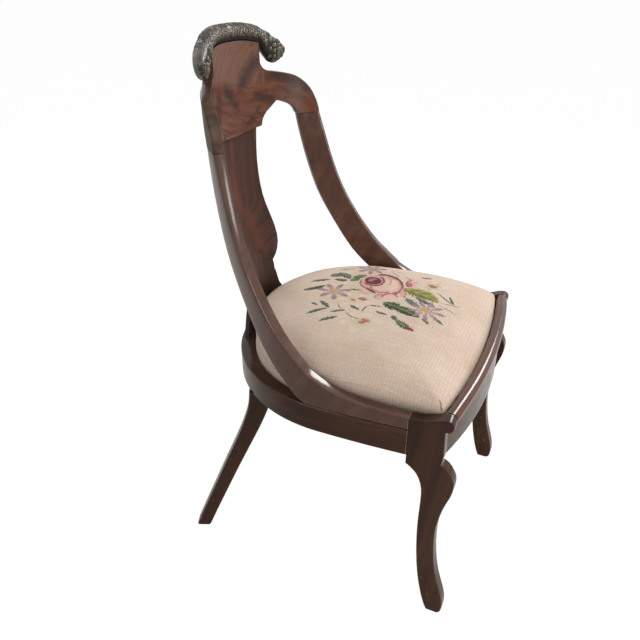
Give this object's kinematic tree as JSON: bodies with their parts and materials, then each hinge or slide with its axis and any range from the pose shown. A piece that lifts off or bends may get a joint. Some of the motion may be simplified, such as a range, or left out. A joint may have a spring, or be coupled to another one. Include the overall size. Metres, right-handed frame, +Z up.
{
  "type": "side chair",
  "caption": "Mahogany side chair with a curved hooped back, carved crest roll, vase splat, swept legs and a lift-out needlepoint seat.",
  "frame": {"origin": "on the floor, under the middle of the chair's bounding box", "axes": "+Z up, front of the chair towards -Y, +X to the right of someone looking along +Y"},
  "size_m": [0.464, 0.511, 0.8935],
  "materials": {
    "mahogany": "dark polished mahogany, glossy",
    "veneer": "reddish figured mahogany veneer, polished",
    "carved_wood": "carved dark grey-brown wood, satin",
    "beech": "plain unfinished wood",
    "steel": "dull steel wood screws",
    "jute": "coarse jute webbing and hessian",
    "needlepoint": "beige needlepoint with a bunch of flowers"
  },
  "bodies": {
    "chair_frame": {"rail_side_left": "mahogany", "block_rear_left": "beech", "block_front_left": "beech", "screw_rear_left_1": "steel", "screw_rear_left_2": "steel", "screw_leg_left_3": "steel", "screw_rail_left_4": "steel", "rail_side_right": "mahogany", "block_rear_right": "beech", "block_front_right": "beech", "screw_rear_right_1": "steel", "screw_rear_right_2": "steel", "screw_leg_right_3": "steel", "screw_rail_right_4": "steel", "rail_rear": "mahogany", "rest_left": "beech", "rest_right": "beech", "rest_rear": "beech", "rest_front": "beech", "rail_front": "mahogany", "front_roll": "mahogany", "leg_front_left": "mahogany", "leg_front_right": "mahogany", "leg_rear_left": "mahogany", "leg_rear_right": "mahogany", "stile_left": "mahogany", "stile_right": "mahogany", "crest_rail": "veneer", "crest_roll": "carved_wood", "splat": "veneer"},
    "slip_seat": {"seat_frame_left": "beech", "seat_frame_right": "beech", "seat_frame_rear": "beech", "seat_frame_front": "beech", "web_long_1": "jute", "web_cross_1": "jute", "web_long_2": "jute", "web_cross_2": "jute", "web_long_3": "jute", "web_cross_3": "jute", "seat_hessian": "jute", "seat_cushion": "needlepoint"}
  },
  "joints": [
    {"name": "slip_seat_lift", "type": "slide", "parent": "chair_frame", "child": "slip_seat", "axis": [0, 0, 1], "range_m": [0, 0.12]}
  ]
}
